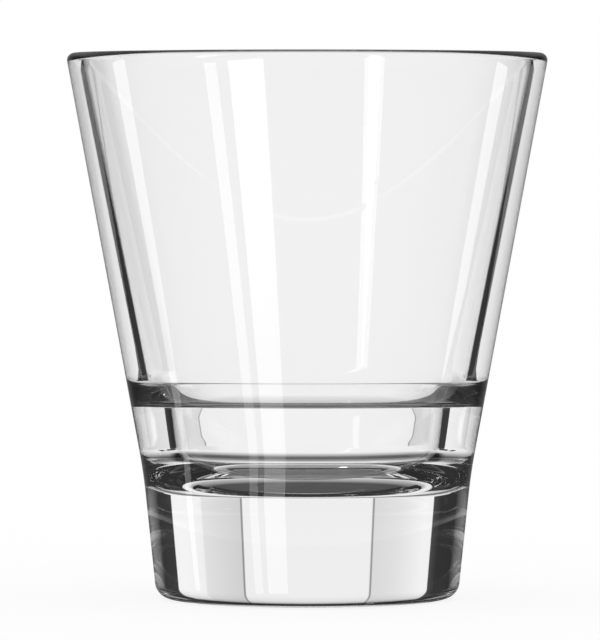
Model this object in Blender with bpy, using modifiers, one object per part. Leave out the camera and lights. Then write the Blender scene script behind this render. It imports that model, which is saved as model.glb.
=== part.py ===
"""Rocks glass: a heavy-based pressed tumbler that stacks.

It is one piece of clear glass, pressed from a single gob and fire-polished at the rim.
Metres, +Z up. The origin is the centre of the ring that it stands on.
"""

import math

import bpy
from mathutils import Vector

# Overall size. A diameter at a corner is taken where the two walls would meet if it were sharp.
HEIGHT = 0.0978
RIM_DIAMETER = 0.0866
RIM_WALL = 0.0027

# Outer wall: a wide cone that eases into a steeper foot
WAIST_HEIGHT = 0.0225
WAIST_DIAMETER = 0.0588
WAIST_BLEND_RADIUS = 0.100
FOOT_DIAMETER = 0.0541
HEEL_RADIUS = 0.0030

# Foot of the bowl: a sloping shoulder, then a flat ledge for the heel of a glass stacked in this one
SHOULDER_HEIGHT = 0.0394
SHOULDER_DIAMETER = 0.0573
SHOULDER_DEPTH = 0.0036
SHOULDER_INSET = 0.0017
SHOULDER_BLEND_RADIUS = 0.0050
LEDGE_WIDTH = 0.0024
LEDGE_ROOT_RADIUS = 0.0012
LEDGE_LIP_RADIUS = 0.0004

# Narrower pocket inside the ledge, with the thick solid base under its floor
POCKET_INSET = 0.0020
FLOOR_HEIGHT = 0.0195
FLOOR_CORNER_RADIUS = 0.0100

# Underside: a flat standing ring round a shallow hollow
HOLLOW_DIAMETER = 0.0400
HOLLOW_DEPTH = 0.0012

# Facets
STEPS_ROUND = 96
ARC_STEP = math.radians(14)
HOLLOW_STEPS = 4

GLASS_COLOUR = (0.98, 0.985, 0.98, 1.0)
GLASS_IOR = 1.52


def reach_per_radius(before, corner, after):
    """How far a rounding of radius 1 at this corner reaches along its two sides."""
    turn = (corner - before).angle(after - corner)
    return math.tan(turn / 2)


def rounded_outline(corners):
    """Points along an outline of (point, rounding radius) corners, with an arc at each rounded one."""
    points = [corners[0][0]]
    for (before, _), (corner, radius), (after, _) in zip(corners, corners[1:], corners[2:]):
        if radius == 0:
            points.append(corner)
            continue
        arrive = (corner - before).normalized()
        leave = (after - corner).normalized()
        turn = arrive.angle(leave)
        start = corner - arrive * radius * math.tan(turn / 2)
        across = leave - arrive * arrive.dot(leave)
        centre = start + across.normalized() * radius
        steps = max(3, math.ceil(turn / ARC_STEP))
        for step in range(steps + 1):
            angle = turn * step / steps
            sideways = across.normalized() * math.cos(angle)
            points.append(centre + (arrive * math.sin(angle) - sideways) * radius)
    points.append(corners[-1][0])
    return points


def hollow_outline(diameter, depth):
    """The hollow under the base: an arc from its edge up to the axis."""
    radius = ((diameter / 2) ** 2 + depth**2) / (2 * depth)
    half_angle = math.asin(diameter / 2 / radius)
    angles = [half_angle * (1 - step / HOLLOW_STEPS) for step in range(HOLLOW_STEPS + 1)]
    lift = depth - radius
    return [Vector((radius * math.sin(angle), lift + radius * math.cos(angle))) for angle in angles]


def tumbler_outline():
    """(radius, height) points from the middle of the floor, up the inside and down the outside."""
    ledge_height = SHOULDER_HEIGHT - SHOULDER_DEPTH
    ledge_radius = SHOULDER_DIAMETER / 2 - SHOULDER_INSET
    pocket_radius = ledge_radius - LEDGE_WIDTH
    floor_middle = Vector((0, FLOOR_HEIGHT))
    floor_corner = Vector((pocket_radius - POCKET_INSET, FLOOR_HEIGHT))
    ledge_lip = Vector((pocket_radius, ledge_height))
    ledge_root = Vector((ledge_radius, ledge_height))
    shoulder = Vector((SHOULDER_DIAMETER / 2, SHOULDER_HEIGHT))
    rim_inside = Vector((RIM_DIAMETER / 2 - RIM_WALL, HEIGHT))
    rim_outside = Vector((RIM_DIAMETER / 2, HEIGHT))
    waist = Vector((WAIST_DIAMETER / 2, WAIST_HEIGHT))
    heel = Vector((FOOT_DIAMETER / 2, 0))
    hollow = hollow_outline(HOLLOW_DIAMETER, HOLLOW_DEPTH)

    # Fire polishing melts the rim into one full round, so its radius follows the wall.
    inside_reach = reach_per_radius(shoulder, rim_inside, rim_outside)
    outside_reach = reach_per_radius(rim_inside, rim_outside, waist)
    rim_radius = RIM_WALL / (inside_reach + outside_reach)

    walls = rounded_outline(
        [
            (floor_middle, 0),
            (floor_corner, FLOOR_CORNER_RADIUS),
            (ledge_lip, LEDGE_LIP_RADIUS),
            (ledge_root, LEDGE_ROOT_RADIUS),
            (shoulder, SHOULDER_BLEND_RADIUS),
            (rim_inside, rim_radius),
            (rim_outside, rim_radius),
            (waist, WAIST_BLEND_RADIUS),
            (heel, HEEL_RADIUS),
            (hollow[0], 0),
        ]
    )
    return walls + hollow[1:]


def turned(name, outline, material, collection):
    """An object turned from an outline in the XZ plane."""
    merge_distance = 1e-6
    points = [outline[0]]
    for point in outline[1:]:
        if (point - points[-1]).length > merge_distance:
            points.append(point)
    mesh = bpy.data.meshes.new(name)
    vertices = [(radius, 0, height) for radius, height in points]
    edges = [(index, index + 1) for index in range(len(points) - 1)]
    mesh.from_pydata(vertices, edges, [])
    mesh.materials.append(material)
    piece = bpy.data.objects.new(name, mesh)
    collection.objects.link(piece)
    screw = piece.modifiers.new("turn", "SCREW")
    screw.axis = "Z"
    screw.steps = STEPS_ROUND
    screw.render_steps = STEPS_ROUND
    screw.use_merge_vertices = True
    screw.merge_threshold = merge_distance
    screw.use_smooth_shade = True
    return piece


def clear_glass():
    """Pressed soda-lime glass, water clear."""
    material = bpy.data.materials.new("clear_glass")
    material.use_nodes = True
    shader = material.node_tree.nodes["Principled BSDF"]
    shader.inputs["Base Color"].default_value = GLASS_COLOUR
    shader.inputs["Roughness"].default_value = 0.0
    shader.inputs["Metallic"].default_value = 0.0
    shader.inputs["IOR"].default_value = GLASS_IOR
    shader.inputs["Transmission Weight"].default_value = 1.0
    return material


for old in list(bpy.data.objects):
    bpy.data.objects.remove(old)
rocks_glass = bpy.data.collections.new("rocks_glass")
bpy.context.scene.collection.children.link(rocks_glass)
turned("tumbler", tumbler_outline(), clear_glass(), rocks_glass)
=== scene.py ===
import math

import bpy
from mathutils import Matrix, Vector


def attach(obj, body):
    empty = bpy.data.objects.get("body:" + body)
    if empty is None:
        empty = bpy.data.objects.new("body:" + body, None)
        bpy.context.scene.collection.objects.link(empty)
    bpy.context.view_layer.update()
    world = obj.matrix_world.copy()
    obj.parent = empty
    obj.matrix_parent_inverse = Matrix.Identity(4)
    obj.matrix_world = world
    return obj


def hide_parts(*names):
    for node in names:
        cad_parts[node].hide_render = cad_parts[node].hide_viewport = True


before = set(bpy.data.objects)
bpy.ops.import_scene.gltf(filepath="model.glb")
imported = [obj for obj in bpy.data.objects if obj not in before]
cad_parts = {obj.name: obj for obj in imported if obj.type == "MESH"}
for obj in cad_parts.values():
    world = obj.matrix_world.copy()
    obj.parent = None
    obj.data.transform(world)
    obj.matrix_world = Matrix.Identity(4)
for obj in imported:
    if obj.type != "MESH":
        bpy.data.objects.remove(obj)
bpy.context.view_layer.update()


# The tumbler: the whole glass, pressed from one gob of clear soda-lime glass in a mould, with the
# rim melted round in a flame. Its outline has the solid's sizes, in finer steps, and the edge of the
# hollow under the base is eased, as the mould leaves it.
HEIGHT = 0.0978
RIM_DIAMETER = 0.0866
RIM_WALL = 0.0027
WAIST_HEIGHT = 0.0225
WAIST_DIAMETER = 0.0588
WAIST_BLEND_RADIUS = 0.100
FOOT_DIAMETER = 0.0541
HEEL_RADIUS = 0.0030
SHOULDER_HEIGHT = 0.0394
SHOULDER_DIAMETER = 0.0573
SHOULDER_DEPTH = 0.0036
SHOULDER_INSET = 0.0017
SHOULDER_BLEND_RADIUS = 0.0050
LEDGE_WIDTH = 0.0024
LEDGE_ROOT_RADIUS = 0.0012
LEDGE_LIP_RADIUS = 0.0004
POCKET_INSET = 0.0020
FLOOR_HEIGHT = 0.0195
FLOOR_CORNER_RADIUS = 0.0100
HOLLOW_DIAMETER = 0.0400
HOLLOW_DEPTH = 0.0012
HOLLOW_EDGE_RADIUS = 0.0015
STEPS_ROUND = 384
ARC_STEP = math.radians(2)
FEWEST_ARC_STEPS = 6
LONGEST_STEP = 0.0020
MERGE_DISTANCE = 1e-6
HOLLOW_STEPS = 10
HOLLOW_EASED_STEPS = 2
GLASS_COLOUR = (0.998, 0.998, 0.998, 1.0)
GLASS_IOR = 1.52
ROUGHEST_POLISH = 0.004
POLISH_CLOUD_SCALE = 60.0
POLISH_CLOUD_DETAIL = 3.0
POLISH_CLOUD_RANGE = (0.35, 0.75)


def reach_per_radius(before, corner, after):
    """How far a rounding of radius 1 at this corner reaches along its two sides."""
    return math.tan((corner - before).angle(after - corner) / 2)


def rounded_outline(corners):
    """Points along an outline of (point, rounding radius) corners, with an arc at each rounded one."""
    points = [corners[0][0]]
    for (before, _), (corner, radius), (after, _) in zip(corners, corners[1:], corners[2:]):
        arrive = (corner - before).normalized()
        leave = (after - corner).normalized()
        turn = arrive.angle(leave)
        start = corner - arrive * radius * math.tan(turn / 2)
        across = (leave - arrive * arrive.dot(leave)).normalized()
        centre = start + across * radius
        steps = max(FEWEST_ARC_STEPS, math.ceil(turn / ARC_STEP))
        for step in range(steps + 1):
            angle = turn * step / steps
            points.append(centre + (arrive * math.sin(angle) - across * math.cos(angle)) * radius)
    points.append(corners[-1][0])
    return points


def hollow_outline():
    """The hollow under the base: an arc from its edge up to the axis."""
    dome = ((HOLLOW_DIAMETER / 2) ** 2 + HOLLOW_DEPTH**2) / (2 * HOLLOW_DEPTH)
    half_angle = math.asin(HOLLOW_DIAMETER / 2 / dome)
    angles = [half_angle * (1 - step / HOLLOW_STEPS) for step in range(HOLLOW_STEPS + 1)]
    lift = HOLLOW_DEPTH - dome
    return [Vector((dome * math.sin(angle), lift + dome * math.cos(angle))) for angle in angles]


def glass_outline():
    """(radius, height) points from the middle of the floor, up the inside and down the outside."""
    ledge_height = SHOULDER_HEIGHT - SHOULDER_DEPTH
    ledge_radius = SHOULDER_DIAMETER / 2 - SHOULDER_INSET
    pocket_radius = ledge_radius - LEDGE_WIDTH
    shoulder = Vector((SHOULDER_DIAMETER / 2, SHOULDER_HEIGHT))
    rim_inside = Vector((RIM_DIAMETER / 2 - RIM_WALL, HEIGHT))
    rim_outside = Vector((RIM_DIAMETER / 2, HEIGHT))
    waist = Vector((WAIST_DIAMETER / 2, WAIST_HEIGHT))
    inside_reach = reach_per_radius(shoulder, rim_inside, rim_outside)
    outside_reach = reach_per_radius(rim_inside, rim_outside, waist)
    rim_radius = RIM_WALL / (inside_reach + outside_reach)
    hollow = hollow_outline()
    walls = rounded_outline(
        [
            (Vector((0, FLOOR_HEIGHT)), 0),
            (Vector((pocket_radius - POCKET_INSET, FLOOR_HEIGHT)), FLOOR_CORNER_RADIUS),
            (Vector((pocket_radius, ledge_height)), LEDGE_LIP_RADIUS),
            (Vector((ledge_radius, ledge_height)), LEDGE_ROOT_RADIUS),
            (shoulder, SHOULDER_BLEND_RADIUS),
            (rim_inside, rim_radius),
            (rim_outside, rim_radius),
            (waist, WAIST_BLEND_RADIUS),
            (Vector((FOOT_DIAMETER / 2, 0)), HEEL_RADIUS),
            (hollow[0], HOLLOW_EDGE_RADIUS),
            (hollow[HOLLOW_EASED_STEPS], 0),
        ]
    )
    return walls + hollow[HOLLOW_EASED_STEPS + 1 :]


def in_short_steps(outline):
    """The same outline with points added, so that no step is longer than LONGEST_STEP."""
    points = [outline[0]]
    for point in outline[1:]:
        start = points[-1]
        gap = point - start
        if gap.length < MERGE_DISTANCE:
            continue
        pieces = math.ceil(gap.length / LONGEST_STEP)
        points += [start + gap * (step + 1) / pieces for step in range(pieces)]
    return points


def turned_glass(name, outline):
    """A closed mesh turned from an outline that starts and ends on the axis."""
    places = []
    for radius, height in outline[1:-1]:
        for step in range(STEPS_ROUND):
            angle = 2 * math.pi * step / STEPS_ROUND
            places.append((radius * math.cos(angle), radius * math.sin(angle), height))
    rings = len(outline) - 2
    floor_middle = len(places)
    hollow_middle = floor_middle + 1
    places += [(0, 0, outline[0].y), (0, 0, outline[-1].y)]
    last_ring = (rings - 1) * STEPS_ROUND
    faces = []
    for step in range(STEPS_ROUND):
        after = (step + 1) % STEPS_ROUND
        faces.append((floor_middle, step, after))
        faces.append((hollow_middle, last_ring + after, last_ring + step))
        for ring in range(rings - 1):
            here = ring * STEPS_ROUND
            there = here + STEPS_ROUND
            faces.append((here + step, there + step, there + after, here + after))
    mesh = bpy.data.meshes.new(name)
    mesh.from_pydata(places, [], faces)
    mesh.shade_smooth()
    piece = bpy.data.objects.new(name, mesh)
    bpy.context.scene.collection.objects.link(piece)
    return piece


def clear_glass():
    """Water-clear glass, in places a shade less smooth where the mould touched it."""
    material = bpy.data.materials.new("clear_glass")
    material.use_nodes = True
    nodes = material.node_tree.nodes
    links = material.node_tree.links
    shader = nodes["Principled BSDF"]
    shader.inputs["Base Color"].default_value = GLASS_COLOUR
    shader.inputs["Metallic"].default_value = 0.0
    shader.inputs["IOR"].default_value = GLASS_IOR
    shader.inputs["Transmission Weight"].default_value = 1.0
    place = nodes.new("ShaderNodeTexCoord")
    cloud = nodes.new("ShaderNodeTexNoise")
    cloud.inputs["Scale"].default_value = POLISH_CLOUD_SCALE
    cloud.inputs["Detail"].default_value = POLISH_CLOUD_DETAIL
    links.new(place.outputs["Object"], cloud.inputs["Vector"])
    polish = nodes.new("ShaderNodeMapRange")
    polish.inputs["From Min"].default_value = POLISH_CLOUD_RANGE[0]
    polish.inputs["From Max"].default_value = POLISH_CLOUD_RANGE[1]
    polish.inputs["To Min"].default_value = 0.0
    polish.inputs["To Max"].default_value = ROUGHEST_POLISH
    links.new(cloud.outputs["Fac"], polish.inputs["Value"])
    links.new(polish.outputs["Result"], shader.inputs["Roughness"])
    return material


tumbler = turned_glass("tumbler_glass", in_short_steps(glass_outline()))
tumbler.data.materials.append(clear_glass())
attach(tumbler, "root")
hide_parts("tumbler")


# The table: a plain white painted board that the glass stands on, with a faint soft shadow of it.
# The camera sees it nearly as white as the backdrop; what the glass shows of it is the mat below, with
# its painted shadow and light.
TABLE_HALF_SIDE = 6.0
TABLE_DROP = 0.00005
TABLE_COLOUR = (1.0, 1.0, 1.0, 1.0)
TABLE_GLOW_SHARE = 0.86


def plug(tree, value, socket):
    """Sets an input to a number or links it to another node's output."""
    if isinstance(value, (int, float)):
        socket.default_value = value
    else:
        tree.links.new(value, socket)


def math_node(tree, operation, first, second=0.0):
    """The output of a Math node; each input is a number or another node's output."""
    node = tree.nodes.new("ShaderNodeMath")
    node.operation = operation
    plug(tree, first, node.inputs[0])
    plug(tree, second, node.inputs[1])
    return node.outputs["Value"]


def stage_card(name, corners, material):
    """A flat card with these corners that isn't part of the object."""
    mesh = bpy.data.meshes.new(name)
    mesh.from_pydata(corners, [], [tuple(range(len(corners)))])
    mesh.materials.append(material)
    card = bpy.data.objects.new(name, mesh)
    bpy.context.scene.collection.objects.link(card)
    return card


white_paint = bpy.data.materials.new("white_paint")
white_paint.use_nodes = True
paint_tree = white_paint.node_tree
paint_tree.nodes.clear()
paint_shader = paint_tree.nodes.new("ShaderNodeBsdfDiffuse")
paint_shader.inputs["Color"].default_value = TABLE_COLOUR
paint_glow = paint_tree.nodes.new("ShaderNodeEmission")
paint_rays = paint_tree.nodes.new("ShaderNodeLightPath")
paint_mix = paint_tree.nodes.new("ShaderNodeMixShader")
paint_output = paint_tree.nodes.new("ShaderNodeOutputMaterial")
glow_share = math_node(paint_tree, "MULTIPLY", paint_rays.outputs["Is Camera Ray"], TABLE_GLOW_SHARE)
paint_tree.links.new(glow_share, paint_mix.inputs[0])
paint_tree.links.new(paint_shader.outputs["BSDF"], paint_mix.inputs[1])
paint_tree.links.new(paint_glow.outputs["Emission"], paint_mix.inputs[2])
paint_tree.links.new(paint_mix.outputs["Shader"], paint_output.inputs["Surface"])
table_corners = [
    (across * TABLE_HALF_SIDE, along * TABLE_HALF_SIDE, -TABLE_DROP)
    for across, along in ((-1, -1), (1, -1), (1, 1), (-1, 1))
]
table = stage_card("table", table_corners, white_paint)
table.visible_glossy = False
table.visible_transmission = False


# The mat: the table round the foot as it shows through the glass, a glowing disc that only light
# coming through the glass sees, with painted light and shade: a painted shadow underneath, a painted
# bright ring of light along the heel, painted shadow round that and painted shade at its two sides, and
# white further out. Light that has crossed the glass only once finds it white, and light that has
# bounced often inside finds only painted shade, dark grey, darker near the middle.
MAT_DROP = 0.0001
MAT_CORNERS = 96
# Painted shadow and light by distance from the axis: dark under the glass, a bright ring at the heel,
# dark round that, white further out.
MAT_PAINTED_SHADES = (
    (0.0205, 0.08),
    (0.0240, 0.40),
    (0.0258, 0.50),
    (0.0270, 0.95),
    (0.0360, 0.90),
    (0.0440, 0.34),
    (0.0500, 0.22),
    (0.0590, 0.10),
    (0.0710, 0.13),
    (0.0860, 0.41),
    (0.1090, 0.67),
    (0.1430, 0.90),
    (0.1600, 0.985),
)
# Painted shade at the two sides, by degrees from straight behind, and how far out from the axis it
# reaches.
MAT_SIDES_PAINTED_SHADE = ((58.0, 1.00), (68.0, 0.04), (125.0, 0.04), (145.0, 1.00))
MAT_SIDES_REACH = ((0.034, 0.0), (0.044, 1.0), (0.095, 1.0), (0.115, 0.0))
MAT_WHITE = 0.97
MAT_WHITE_BOUNCES = 2.5
# Painted shade that light finds after many bounces inside the glass, darker near the middle.
MAT_DEEP_PAINTED_SHADE = ((0.060, 0.02), (0.090, 0.14))
MAT_DEEP_SHADE_BOUNCES = 6.5


def ramp(tree, value, stops):
    """The output of a ramp of (place, value) stops, level beyond the first and the last."""
    first, last = stops[0][0], stops[-1][0]
    place = math_node(tree, "DIVIDE", math_node(tree, "SUBTRACT", value, first), last - first)
    node = tree.nodes.new("ShaderNodeValToRGB")
    elements = node.color_ramp.elements
    elements.remove(elements[-1])
    elements[0].position = 0.0
    elements[0].color = (stops[0][1], stops[0][1], stops[0][1], 1.0)
    for stop, level in stops[1:]:
        elements.new((stop - first) / (last - first)).color = (level, level, level, 1.0)
    tree.links.new(place, node.inputs["Fac"])
    return node.outputs["Color"]


def mixed(tree, share, first, second):
    """The output of a mix of two greys; each input is a number or another node's output."""
    node = tree.nodes.new("ShaderNodeMix")
    plug(tree, share, node.inputs["Factor"])
    plug(tree, first, node.inputs["A"])
    plug(tree, second, node.inputs["B"])
    return node.outputs["Result"]


def angle_from_behind(tree, axes):
    """Degrees round the glass from straight behind it, rightwards positive."""
    return math_node(tree, "DEGREES", math_node(tree, "ARCTAN2", axes.outputs["X"], axes.outputs["Y"]))


painted_shade_mat_material = bpy.data.materials.new("mat_painted_shades")
painted_shade_mat_material.use_nodes = True
mat_tree = painted_shade_mat_material.node_tree
mat_tree.nodes.clear()
mat_glow = mat_tree.nodes.new("ShaderNodeEmission")
mat_output = mat_tree.nodes.new("ShaderNodeOutputMaterial")
mat_place = mat_tree.nodes.new("ShaderNodeNewGeometry")
mat_length = mat_tree.nodes.new("ShaderNodeVectorMath")
mat_length.operation = "LENGTH"
mat_tree.links.new(mat_place.outputs["Position"], mat_length.inputs[0])
mat_distance = mat_length.outputs["Value"]
mat_axes = mat_tree.nodes.new("ShaderNodeSeparateXYZ")
mat_tree.links.new(mat_place.outputs["Position"], mat_axes.inputs["Vector"])
mat_aside = math_node(mat_tree, "ABSOLUTE", angle_from_behind(mat_tree, mat_axes))
mat_sides_share = ramp(mat_tree, mat_distance, MAT_SIDES_REACH)
mat_sides_painted_shade = mixed(mat_tree, mat_sides_share, 1.0, ramp(mat_tree, mat_aside, MAT_SIDES_PAINTED_SHADE))
# The mat's glow: painted shadow and light, with painted shade at its sides.
mat_painted_grey = math_node(mat_tree, "MULTIPLY", ramp(mat_tree, mat_distance, MAT_PAINTED_SHADES), mat_sides_painted_shade)
mat_rays = mat_tree.nodes.new("ShaderNodeLightPath")
# After many bounces the mat shows only painted shade; after one crossing of the glass it is white.
mat_deep_shaded = math_node(mat_tree, "GREATER_THAN", mat_rays.outputs["Ray Depth"], MAT_DEEP_SHADE_BOUNCES)
mat_painted_grey = mixed(mat_tree, mat_deep_shaded, mat_painted_grey, ramp(mat_tree, mat_distance, MAT_DEEP_PAINTED_SHADE))
mat_white = math_node(mat_tree, "LESS_THAN", mat_rays.outputs["Ray Depth"], MAT_WHITE_BOUNCES)
mat_painted_grey = mixed(mat_tree, mat_white, mat_painted_grey, MAT_WHITE)
mat_tree.links.new(mat_painted_grey, mat_glow.inputs["Color"])
mat_tree.links.new(mat_glow.outputs["Emission"], mat_output.inputs["Surface"])
mat_angles = [2 * math.pi * corner / MAT_CORNERS for corner in range(MAT_CORNERS)]
mat_reach = MAT_PAINTED_SHADES[-1][0]
mat_corners = [
    (mat_reach * math.cos(angle), mat_reach * math.sin(angle), -MAT_DROP)
    for angle in mat_angles
]
mat = stage_card("mat", mat_corners, painted_shade_mat_material)
mat.visible_camera = False
mat.visible_glossy = False
mat.visible_diffuse = False
mat.visible_shadow = False


# The room as the glass shows it: a white backdrop between grey-white panels, a black flag beyond each,
# the table's dark ends, a darkening ceiling, and white behind the camera. Angles are degrees, sideways
# from straight behind the glass and upwards from level. The camera and the table see plain white.
PLAIN_WHITE = 1.0
WHITE = 0.99
HALF_TURN = 180
PANELS = (
    (-36.0, 0.99),
    (-25.0, 0.82),
    (-16.7, 0.74),
    (-16.5, 0.915),
    (16.5, 0.915),
    (16.7, 0.67),
    (30.1, 0.82),
    (30.5, 0.95),
    (43.0, 1.05),
)
PANEL_JOINTS = ((16.3, 1.00), (16.4, 0.42), (16.9, 0.42), (17.0, 1.00))
PANEL_LEAN = ((0.1, 1.23), (0.8, 1.00))
PANEL_FADE = ((1.2, 1.07), (2.3, 1.00))
PANEL_FOOT = ((-1.2, 0.0), (-0.6, 1.0))
UNDER_PANELS = ((-11.0, 0.87), (-9.0, 0.99))
LEFT_FLAG_EDGE = ((0.7, 50.0), (4.2, 40.3))
LEFT_FLAG = (
    (-0.2, 1.00),
    (0.2, 0.07),
    (5.0, 0.03),
    (19.0, 0.03),
    (38.0, 0.60),
    (60.0, 0.60),
    (70.0, 0.02),
    (88.0, 0.02),
    (100.0, 0.90),
)
RIGHT_FLAG_EDGE = ((0.7, 50.0), (4.2, 46.8))
RIGHT_FLAG = (
    (-0.2, 1.00),
    (0.2, 0.04),
    (13.0, 0.04),
    (30.0, 0.60),
    (60.0, 0.60),
    (70.0, 0.02),
    (88.0, 0.02),
    (100.0, 0.90),
)
TABLE_END_EDGE = ((-12.4, 36.6), (-10.8, 34.8), (-6.8, 29.2))
TABLE_END = ((0.0, 0.99), (0.5, 0.03), (7.5, 0.03), (8.5, 0.85), (45.0, 0.85), (55.0, 0.95))
TABLE_CORNER_EDGE = ((-10.6, 24.0), (-10.3, 30.0), (-9.9, 44.0))
TABLE_CORNER = ((0.0, 0.99), (0.5, 0.02), (12.0, 0.02), (14.0, 0.99))
TABLE_HORIZON = ((-7.3, 0.0), (-6.5, 1.0))
NEAR_TABLE = ((-19.0, 0.0), (-13.5, 1.0))
CEILING_EDGE = ((42.0, 30.0), (60.0, 13.0))
CEILING_SHADE = ((-22.0, 0.0), (-12.0, 0.12), (-4.0, 0.35), (2.0, 1.0))
CEILING_GREY = 0.02

# What the glass's own skin reflects of the room is dimmer, by degrees from the camera.
SHEEN = ((60.0, 0.08), (90.0, 0.05), (150.0, 0.05), (180.0, 0.25))
SHEEN_CEILING = ((70.0, 0.03), (130.0, 0.35))
SHEEN_CEILING_HEIGHT = ((8.0, 0.0), (20.0, 1.0))
SHEEN_TABLE = ((40.0, 0.32), (80.0, 0.10))
SHEEN_TABLE_HEIGHT = ((-11.0, 0.0), (-8.5, 1.0))

# Light that has bounced often inside the glass finds painted shade in place of the room, dark grey and a
# little lighter looking down; both that and how many bounces it takes go by height.
ROOM_DEEP_PAINTED_SHADE = ((-24.0, 0.14), (-16.0, 0.02))
ROOM_DEEP_SHADE_BOUNCES = ((4.0, 6.5), (5.0, 5.5), (11.0, 5.5), (12.0, 6.5))

room = bpy.data.worlds.new("room")
bpy.context.scene.world = room
room.use_nodes = True
tree = room.node_tree
direction = tree.nodes.new("ShaderNodeTexCoord").outputs["Generated"]
room_axes = tree.nodes.new("ShaderNodeSeparateXYZ")
tree.links.new(direction, room_axes.inputs["Vector"])
height = math_node(tree, "DEGREES", math_node(tree, "ARCSINE", room_axes.outputs["Z"]))
rightwards = angle_from_behind(tree, room_axes)
leftwards = math_node(tree, "MULTIPLY", rightwards, -1)
aside = math_node(tree, "ABSOLUTE", rightwards)

lean = ramp(tree, height, PANEL_LEAN)
panels = ramp(tree, math_node(tree, "MULTIPLY", rightwards, lean), PANELS)
joints = ramp(tree, math_node(tree, "MULTIPLY", aside, lean), PANEL_JOINTS)
panels = math_node(tree, "MULTIPLY", panels, joints)
panels = math_node(tree, "MULTIPLY", panels, ramp(tree, height, PANEL_FADE))
seen = mixed(tree, ramp(tree, height, PANEL_FOOT), ramp(tree, rightwards, UNDER_PANELS), panels)

past_left_edge = math_node(tree, "SUBTRACT", leftwards, ramp(tree, height, LEFT_FLAG_EDGE))
past_right_edge = math_node(tree, "SUBTRACT", rightwards, ramp(tree, height, RIGHT_FLAG_EDGE))
seen = math_node(tree, "MULTIPLY", seen, ramp(tree, past_left_edge, LEFT_FLAG))
seen = math_node(tree, "MULTIPLY", seen, ramp(tree, past_right_edge, RIGHT_FLAG))

past_end = math_node(tree, "SUBTRACT", aside, ramp(tree, height, TABLE_END_EDGE))
past_corner = math_node(tree, "SUBTRACT", aside, ramp(tree, height, TABLE_CORNER_EDGE))
table_end = ramp(tree, past_end, TABLE_END)
table_corner = ramp(tree, past_corner, TABLE_CORNER)
table_ends = math_node(tree, "MINIMUM", table_end, table_corner)
seen = mixed(tree, ramp(tree, height, TABLE_HORIZON), table_ends, seen)
seen = mixed(tree, ramp(tree, height, NEAR_TABLE), WHITE, seen)

over_edge = math_node(tree, "SUBTRACT", height, ramp(tree, aside, CEILING_EDGE))
seen = mixed(tree, ramp(tree, over_edge, CEILING_SHADE), seen, CEILING_GREY)

from_camera = math_node(tree, "SUBTRACT", HALF_TURN, aside)
sheen = ramp(tree, from_camera, SHEEN)
sheen_ceiling = ramp(tree, from_camera, SHEEN_CEILING)
sheen_table = ramp(tree, from_camera, SHEEN_TABLE)
sheen = mixed(tree, ramp(tree, height, SHEEN_CEILING_HEIGHT), sheen, sheen_ceiling)
sheen = mixed(tree, ramp(tree, height, SHEEN_TABLE_HEIGHT), sheen_table, sheen)

rays = tree.nodes.new("ShaderNodeLightPath")
deep_shade_bounces = ramp(tree, height, ROOM_DEEP_SHADE_BOUNCES)
# Past these bounces the glass shows painted shade, dark grey, in place of the room.
deep_shaded = math_node(tree, "GREATER_THAN", rays.outputs["Ray Depth"], deep_shade_bounces)
shown = mixed(tree, rays.outputs["Is Transmission Ray"], sheen, seen)
shown = mixed(tree, deep_shaded, shown, ramp(tree, height, ROOM_DEEP_PAINTED_SHADE))
shown = mixed(tree, rays.outputs["Is Diffuse Ray"], shown, PLAIN_WHITE)
shown = mixed(tree, rays.outputs["Is Camera Ray"], shown, PLAIN_WHITE)
tree.links.new(shown, tree.nodes["Background"].inputs["Color"])


# The light strips: tall soft lights on stands beside the camera and at the glass's sides, which leave
# the long white streaks on its wall, and dim a little towards the floor. Each has a name, a bearing in
# degrees, a strength, and corners as (how far leftwards as seen from the glass, height).
STRIP_DISTANCE = 0.150
STRIP_FADE = ((-0.030, 0.75), (0.020, 1.00))
WIDE_STRIP = ((-0.0033, 0.0603), (-0.0445, 0.0580), (-0.0598, -0.0400), (-0.0227, -0.0400))
SLIM_STRIP = ((0.0252, 0.0600), (0.0105, 0.0600), (-0.0130, -0.0400), (0.0020, -0.0400))
LEFT_STRIP = ((-0.0072, 0.0720), (-0.0299, 0.0720), (-0.0420, -0.0300), (-0.0302, -0.0300))
RIGHT_STRIP = ((0.0224, 0.0715), (-0.0001, 0.0725), (0.0120, 0.0250), (0.0300, 0.0040), (0.0345, 0.0020))
HIGH_STRIP = ((0.0297, 0.1750), (0.0023, 0.1750), (0.0218, 0.0870), (0.0348, 0.0870))
STRIPS = (
    ("wide_strip", 35, 3.2, WIDE_STRIP),
    ("slim_strip", 35, 2.6, SLIM_STRIP),
    ("left_strip", 98, 2.2, LEFT_STRIP),
    ("right_strip", -100, 2.2, RIGHT_STRIP),
    ("high_strip", 35, 2.6, HIGH_STRIP),
)


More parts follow.
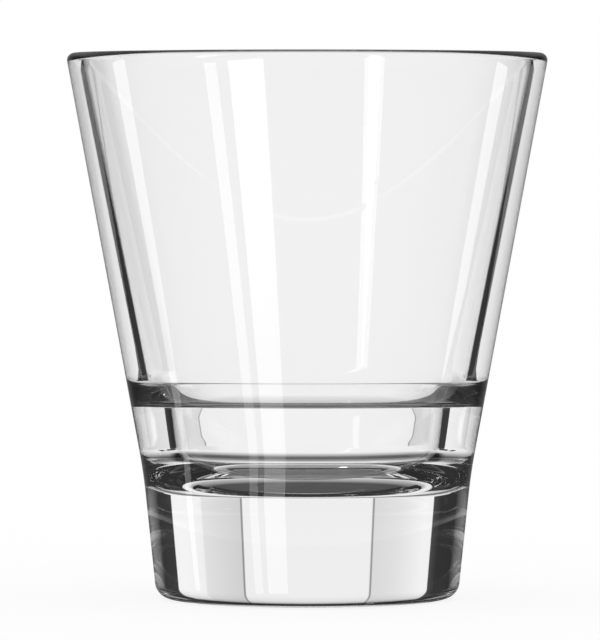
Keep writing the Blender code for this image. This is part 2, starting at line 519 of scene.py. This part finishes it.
def soft_light(name, strength):
    """An even glow that dims towards the floor."""
    material = bpy.data.materials.new(name)
    material.use_nodes = True
    light_tree = material.node_tree
    light_tree.nodes.clear()
    glow = light_tree.nodes.new("ShaderNodeEmission")
    output = light_tree.nodes.new("ShaderNodeOutputMaterial")
    place = light_tree.nodes.new("ShaderNodeNewGeometry")
    axes = light_tree.nodes.new("ShaderNodeSeparateXYZ")
    light_tree.links.new(place.outputs["Position"], axes.inputs["Vector"])
    fade = ramp(light_tree, axes.outputs["Z"], STRIP_FADE)
    light_tree.links.new(math_node(light_tree, "MULTIPLY", fade, strength), glow.inputs["Strength"])
    light_tree.links.new(glow.outputs["Emission"], output.inputs["Surface"])
    return material


for name, bearing, strength, outline in STRIPS:
    angle = math.radians(bearing)
    middle = Vector((-math.sin(angle), -math.cos(angle), 0)) * STRIP_DISTANCE
    sideways = Vector((-math.cos(angle), math.sin(angle), 0))
    corners = [middle + sideways * across + Vector((0, 0, up)) for across, up in outline]
    strip = stage_card(name, corners, soft_light(name, strength))
    strip.visible_camera = False
    strip.visible_diffuse = False
    strip.visible_shadow = False
    strip.visible_transmission = name == "high_strip"


# The camera: a long lens a little over a metre away, just under the level of the rim.
# The light in a thick base bounces many times before it leaves, so the paths are long.
IMAGE_WIDTH = 600
PIXELS_PER_METRE = 5575
CAMERA_DISTANCE = 1.138
CAMERA_HEIGHT = 0.0815
CAMERA_AIM_HEIGHT = 0.0499
CAMERA_ASIDE = -0.0013
SENSOR_WIDTH = 36.0
MOST_BOUNCES = 32

camera_data = bpy.data.cameras.new("camera")
camera_data.sensor_fit = "HORIZONTAL"
camera_data.sensor_width = SENSOR_WIDTH
camera_data.lens = SENSOR_WIDTH * PIXELS_PER_METRE * CAMERA_DISTANCE / IMAGE_WIDTH
camera = bpy.data.objects.new("camera", camera_data)
bpy.context.scene.collection.objects.link(camera)
camera.location = (CAMERA_ASIDE, -CAMERA_DISTANCE, CAMERA_HEIGHT)
aim = Vector((CAMERA_ASIDE, 0, CAMERA_AIM_HEIGHT))
camera.rotation_euler = (aim - camera.location).to_track_quat("-Z", "Y").to_euler()
scene = bpy.context.scene
scene.camera = camera
scene.view_settings.view_transform = "Standard"
scene.cycles.max_bounces = MOST_BOUNCES
scene.cycles.transmission_bounces = MOST_BOUNCES
scene.cycles.glossy_bounces = MOST_BOUNCES
